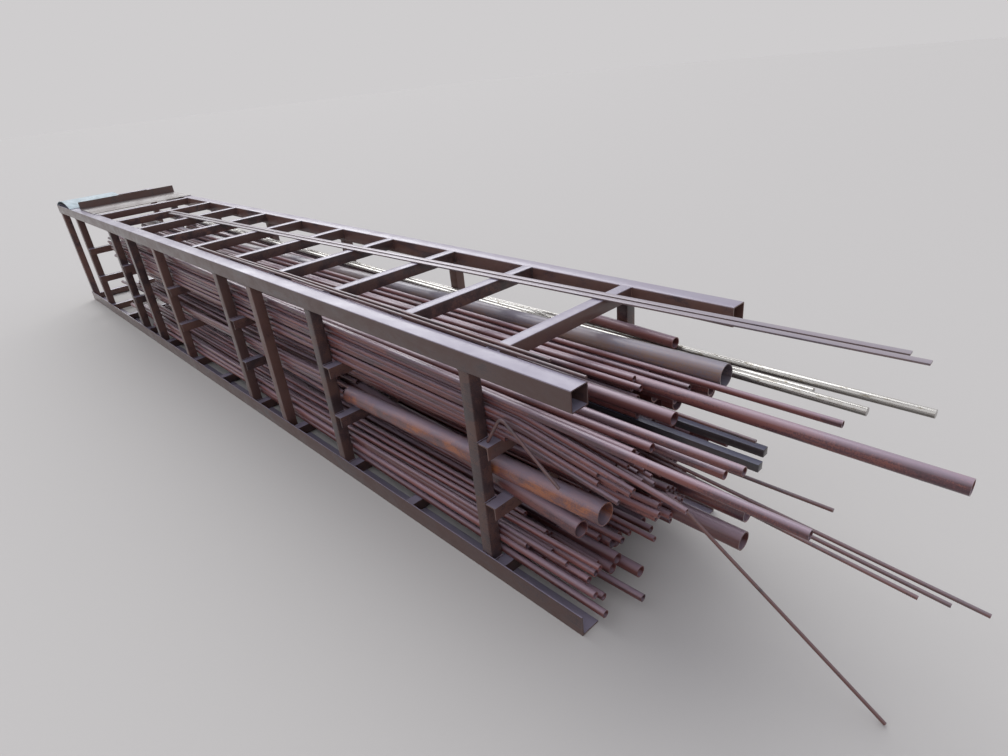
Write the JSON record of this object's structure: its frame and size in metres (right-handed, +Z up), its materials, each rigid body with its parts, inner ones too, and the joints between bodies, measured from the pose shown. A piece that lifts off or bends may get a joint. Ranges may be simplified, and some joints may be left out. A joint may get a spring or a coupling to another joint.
{
  "type": "bundle of iron pipes in a steel rack",
  "caption": "Loose iron pipes and bars of mixed sizes lying in three tiers of a long welded steel storage rack, with ragged ends past one end.",
  "frame": {"origin": "on the floor, under the middle of the whole heap's bounding box, overhanging pipe ends included", "axes": "+X along the rack towards the ragged pipe ends, +Y across it towards the side away from the viewer, +Z up"},
  "size_m": [6.9105, 0.81, 0.9484],
  "materials": {
    "rack_steel": "mild steel, old brown primer worn through to even rust, wet",
    "rusted_pipe": "black steel pipe, rusted brown with orange patches, wet",
    "bright_steel": "bright drawn steel bar with light rust"
  },
  "bodies": {
    "root": {"bottom_bearers": "rack_steel", "bottom_conduits": "rusted_pipe", "bottom_large_pipes": "rusted_pipe", "bottom_middle_pipes": "rusted_pipe", "bottom_thin_pipes": "rusted_pipe", "far_post_1": "rack_steel", "far_post_2": "rack_steel", "far_post_3": "rack_steel", "far_post_4": "rack_steel", "far_post_5": "rack_steel", "far_post_6": "rack_steel", "far_post_7": "rack_steel", "far_sill": "rack_steel", "far_top_rail": "rack_steel", "folded_plate": "rusted_pipe", "ground_bars": "rack_steel", "kinked_rod": "rusted_pipe", "left_end_rung": "rack_steel", "loose_flat_bars": "rusted_pipe", "loose_rods": "rusted_pipe", "middle_bearers": "rack_steel", "middle_conduits": "rusted_pipe", "middle_great_pipe": "rusted_pipe", "middle_large_pipes": "rusted_pipe", "middle_middle_pipes": "rusted_pipe", "middle_rods": "rusted_pipe", "middle_thin_pipes": "rusted_pipe", "near_post_1": "rack_steel", "near_post_2": "rack_steel", "near_post_3": "rack_steel", "near_post_4": "rack_steel", "near_post_5": "rack_steel", "near_post_6": "rack_steel", "near_post_7": "rack_steel", "near_sill": "rack_steel", "near_struts": "rack_steel", "near_top_rail": "rack_steel", "rung_1": "rack_steel", "rung_10": "rack_steel", "rung_11": "rack_steel", "rung_12": "rack_steel", "rung_2": "rack_steel", "rung_3": "rack_steel", "rung_4": "rack_steel", "rung_5": "rack_steel", "rung_6": "rack_steel", "rung_7": "rack_steel", "rung_8": "rack_steel", "rung_9": "rack_steel", "scrap_sheet": "rusted_pipe", "top_bearers": "rack_steel", "top_bright_bars": "bright_steel", "top_conduits": "rusted_pipe", "top_great_pipe": "rusted_pipe", "top_large_pipes": "rusted_pipe", "top_middle_pipes": "rusted_pipe", "top_narrow_pipes": "rusted_pipe", "top_rods": "rusted_pipe", "top_square_bars": "rusted_pipe", "top_thin_pipes": "rusted_pipe"}
  },
  "joints": []
}
